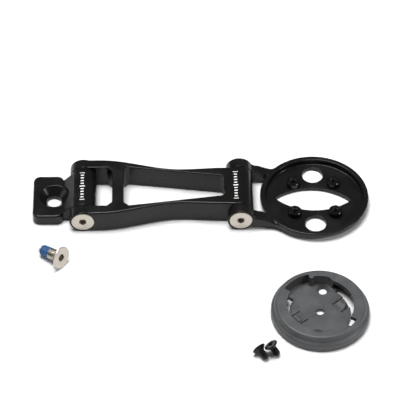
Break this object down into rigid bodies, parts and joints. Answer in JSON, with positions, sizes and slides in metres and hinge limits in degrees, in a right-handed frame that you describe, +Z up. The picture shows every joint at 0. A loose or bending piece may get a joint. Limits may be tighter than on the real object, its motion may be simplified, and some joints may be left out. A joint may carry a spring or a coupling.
{
  "type": "folding bicycle computer mount",
  "caption": "Folding out-front handlebar mount for a cycling computer, laid flat with its quarter-turn insert and loose screws.",
  "frame": {"origin": "axis of the base plate's bolt hole, on the face that bolts down", "axes": "+X from the base plate along the mount towards the dish, +Z up from the face that bolts down, +Y across the mount so that the hinge screws' heads face -Y"},
  "size_m": [0.1489, 0.1164, 0.0117],
  "materials": {
    "anodised_black": "black anodised, satin with bright edges",
    "anodised_standoff": "black anodised, turned",
    "stainless_steel": "turned stainless steel",
    "black_oxide_steel": "black oxide, slightly oily",
    "moulded_nylon": "glass-filled nylon with a fine moulded grain",
    "washer_bronze": "bronze shim",
    "thread_lock_nylon": "sprayed nylon coat"
  },
  "bodies": {
    "base": {"base_plate": "anodised_black"},
    "arm": {"hinge_arm": "anodised_black", "base_hinge_screw": "stainless_steel", "base_hinge_washer_near": "washer_bronze", "base_hinge_washer_far": "washer_bronze"},
    "head": {"head_plate": "anodised_black", "head_hinge_screw": "stainless_steel", "head_hinge_washer_near": "washer_bronze", "head_hinge_washer_far": "washer_bronze", "standoff_1": "anodised_standoff", "standoff_2": "anodised_standoff", "standoff_3": "anodised_standoff", "standoff_4": "anodised_standoff"},
    "insert": {"insert_body": "moulded_nylon"},
    "tongue_1": {"insert_tongue_1": "moulded_nylon"},
    "tongue_2": {"insert_tongue_2": "moulded_nylon"},
    "insert_screws": {"insert_screw_1": "black_oxide_steel", "insert_screw_2": "black_oxide_steel"},
    "loose_bolt": {"base_screw": "stainless_steel", "thread_lock_patch": "thread_lock_nylon"}
  },
  "joints": [
    {"name": "base_hinge", "type": "hinge", "parent": "base", "child": "arm", "pos_m": [0.013, 0, 0.00585], "axis": [0, -1, 0], "range_deg": [-90, 120]},
    {"name": "head_hinge", "type": "hinge", "parent": "arm", "child": "head", "pos_m": [0.0825, 0, 0.00585], "axis": [0, -1, 0], "range_deg": [-90, 120]},
    {"name": "insert_lift", "type": "slide", "parent": "base", "child": "insert", "axis": [0, 0, 1], "range_m": [0, 0.03]},
    {"name": "tongue_flex_1", "type": "hinge", "parent": "insert", "child": "tongue_1", "pos_m": [0.12195, -0.06423, 0.0013], "axis": [-0.6239, 0.7815, 0], "range_deg": [0, 7], "stiffness_Nm_per_rad": 0.1},
    {"name": "tongue_flex_2", "type": "hinge", "parent": "insert", "child": "tongue_2", "pos_m": [0.10765, -0.06797, 0.0013], "axis": [0.6239, -0.7815, 0], "range_deg": [0, 7], "stiffness_Nm_per_rad": 0.1},
    {"name": "insert_screws_lift", "type": "slide", "parent": "base", "child": "insert_screws", "axis": [0, 0, 1], "range_m": [0, 0.03]},
    {"name": "base_screw_lift", "type": "slide", "parent": "base", "child": "loose_bolt", "axis": [0, 0, 1], "range_m": [0, 0.03]}
  ]
}
